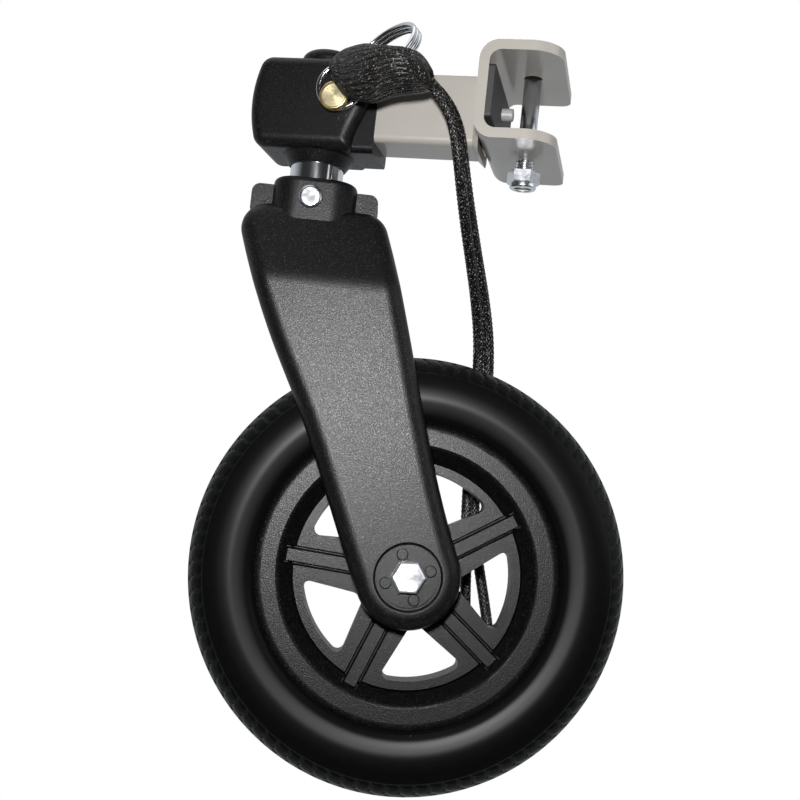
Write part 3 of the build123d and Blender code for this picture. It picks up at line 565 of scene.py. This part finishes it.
def through(points, steps):
    """Points along a smooth line that passes through all the given ones."""
    line = []
    for i in range(len(points) - 1):
        a, b, c, d = (Vector(points[max(0, min(len(points) - 1, i + k))]) for k in (-1, 0, 1, 2))
        for k in range(steps):
            t = k / steps
            line.append(0.5 * (2 * b + (c - a) * t + (2 * a - 5 * b + 4 * c - d) * t * t
                               + (3 * b - a - 3 * c + d) * t * t * t))
    line.append(Vector(points[-1]))
    return line


def tread_depth(side, radius, segment):
    """How far the tread is cut in: two rounds near the middle, staggered cross cuts, a line at its edge."""
    if abs(radius - TREAD_FROM_R) < EDGE_LINE_HALF:
        return EDGE_LINE_DEEP
    if radius < TREAD_FROM_R:
        return 0.0
    if abs(abs(side) - GROOVE_AT) < GROOVE_HALF:
        return GROOVE_DEEP
    shift = 0 if side > 0 else AROUND // LUGS // 2
    slant = round(abs(side) / CUT_STAGGER)
    if abs(side) > GROOVE_AT and (segment + shift + slant) % (AROUND // LUGS) < CUT_STEPS:
        return CUT_DEEP
    return 0.0


def make_tyre():
    half = through(TYRE_WALL, 5)
    profile = [Vector(p) for p in TYRE_BEAD] + half + [Vector((-p.x, p.y)) for p in half[-2::-1]]
    profile += [Vector((-p[0], p[1])) for p in TYRE_BEAD[::-1]]
    verts, faces = [], []
    for segment in range(AROUND):
        turn = math.tau * segment / AROUND
        out = BACK * math.cos(turn) + UP * math.sin(turn)
        for point in profile:
            radius = point.y - tread_depth(point.x, point.y, segment)
            verts.append(HUB + (NEAR * point.x + out * radius) * MM)
    size = len(profile)
    for segment in range(AROUND):
        for k in range(size):
            a, b = segment * size + k, segment * size + (k + 1) % size
            c, d = ((segment + 1) % AROUND) * size + (k + 1) % size, ((segment + 1) % AROUND) * size + k
            faces.append((a, d, c, b))
    piece = mesh_piece("tyre_tread", verts, faces, TYRE, "wheel")
    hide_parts("tyre")


make_tyre()

# ------------------------------------------------------------------ threaded clamp bolt

BOLT_X = 12.7
BOLT_R = 4.0
THREAD_PITCH = 1.25
THREAD_DEPTH = 0.55
THREAD_RUN_OUT = 1.5
THREAD_STEPS = 260
BOLT_SIDES = 40
POINT_H, POINT_SLOPE = 0.7, 0.9
THREAD_TOP, BOLT_END = -18.0, -33.4
HEAD_LOW, HEAD_HIGH, HEAD_FLAT = 23.6, 28.9, 6.5
HEAD_BEVEL_H, HEAD_BEVEL_SCALE = 0.6, 0.92


def make_clamp_bolt():
    """The hex bolt with a rolled thread at its nut end."""
    rings = []
    for i in range(THREAD_STEPS + 1):
        z = BOLT_END + (THREAD_TOP - BOLT_END) * i / THREAD_STEPS
        ring = []
        for k in range(BOLT_SIDES):
            turn = math.tau * k / BOLT_SIDES
            wave = abs(((z / THREAD_PITCH - turn / math.tau) % 1.0) * 2 - 1)
            cut = THREAD_DEPTH * wave * min(1.0, (THREAD_TOP - z) / THREAD_RUN_OUT)
            point_in = max(0.0, POINT_H - (z - BOLT_END)) * POINT_SLOPE
            radius = BOLT_R - max(cut, point_in)
            ring.append(Vector((BOLT_X + radius * math.cos(turn), radius * math.sin(turn), z)) * MM)
        rings.append(ring)
    rings.append([Vector((BOLT_X + BOLT_R * math.cos(math.tau * k / BOLT_SIDES),
                          BOLT_R * math.sin(math.tau * k / BOLT_SIDES), HEAD_LOW + 0.2)) * MM
                  for k in range(BOLT_SIDES)])
    verts, faces = [], []
    add_strip(verts, faces, rings)
    piece = mesh_piece("clamp_bolt_shank", verts, faces, ZINC, "arm")
    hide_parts("clamp_bolt")
    corner = HEAD_FLAT / math.cos(math.pi / 6)
    verts, faces = [], []
    levels = ((HEAD_LOW, 1.0), (HEAD_LOW + 0.1, 1.0), (HEAD_HIGH - HEAD_BEVEL_H, 1.0),
              (HEAD_HIGH, HEAD_BEVEL_SCALE))
    add_strip(verts, faces, [[Vector((BOLT_X + corner * scale * math.cos(math.tau * k / 6 + math.pi / 6),
                                      corner * scale * math.sin(math.tau * k / 6 + math.pi / 6), z)) * MM
                              for k in range(6)] for z, scale in levels])
    mesh_piece("clamp_bolt_head", verts, faces, ZINC, "arm", smooth=False)


make_clamp_bolt()

# ------------------------------------------------------------------ turned face of the pin's head

PIN_FACE_AT = Vector((-73.6, -27.0, -3.0))
PIN_FACE_R = 5.5
PIN_FACE_RISE = 0.12
PIN_FACE_RINGS, PIN_FACE_SIDES = 37, 48
TURNING_PITCH = 0.62


def make_pin_face():
    """Fine rings left by the turning tool, in the middle of the yellow head."""
    verts, faces = [], []
    rings = []
    for i in range(PIN_FACE_RINGS):
        radius = PIN_FACE_R * (1 - i / PIN_FACE_RINGS)
        rise = PIN_FACE_RISE * (0.55 + 0.45 * math.cos(math.tau * radius / TURNING_PITCH)) if i else 0.0
        rings.append([(PIN_FACE_AT + Vector((radius * math.cos(a), -rise, radius * math.sin(a)))) * MM
                      for a in (math.tau * k / PIN_FACE_SIDES for k in range(PIN_FACE_SIDES))])
    add_strip(verts, faces, rings)
    mesh_piece("pin_face", verts, faces, PALE_GOLD, "pin")


make_pin_face()
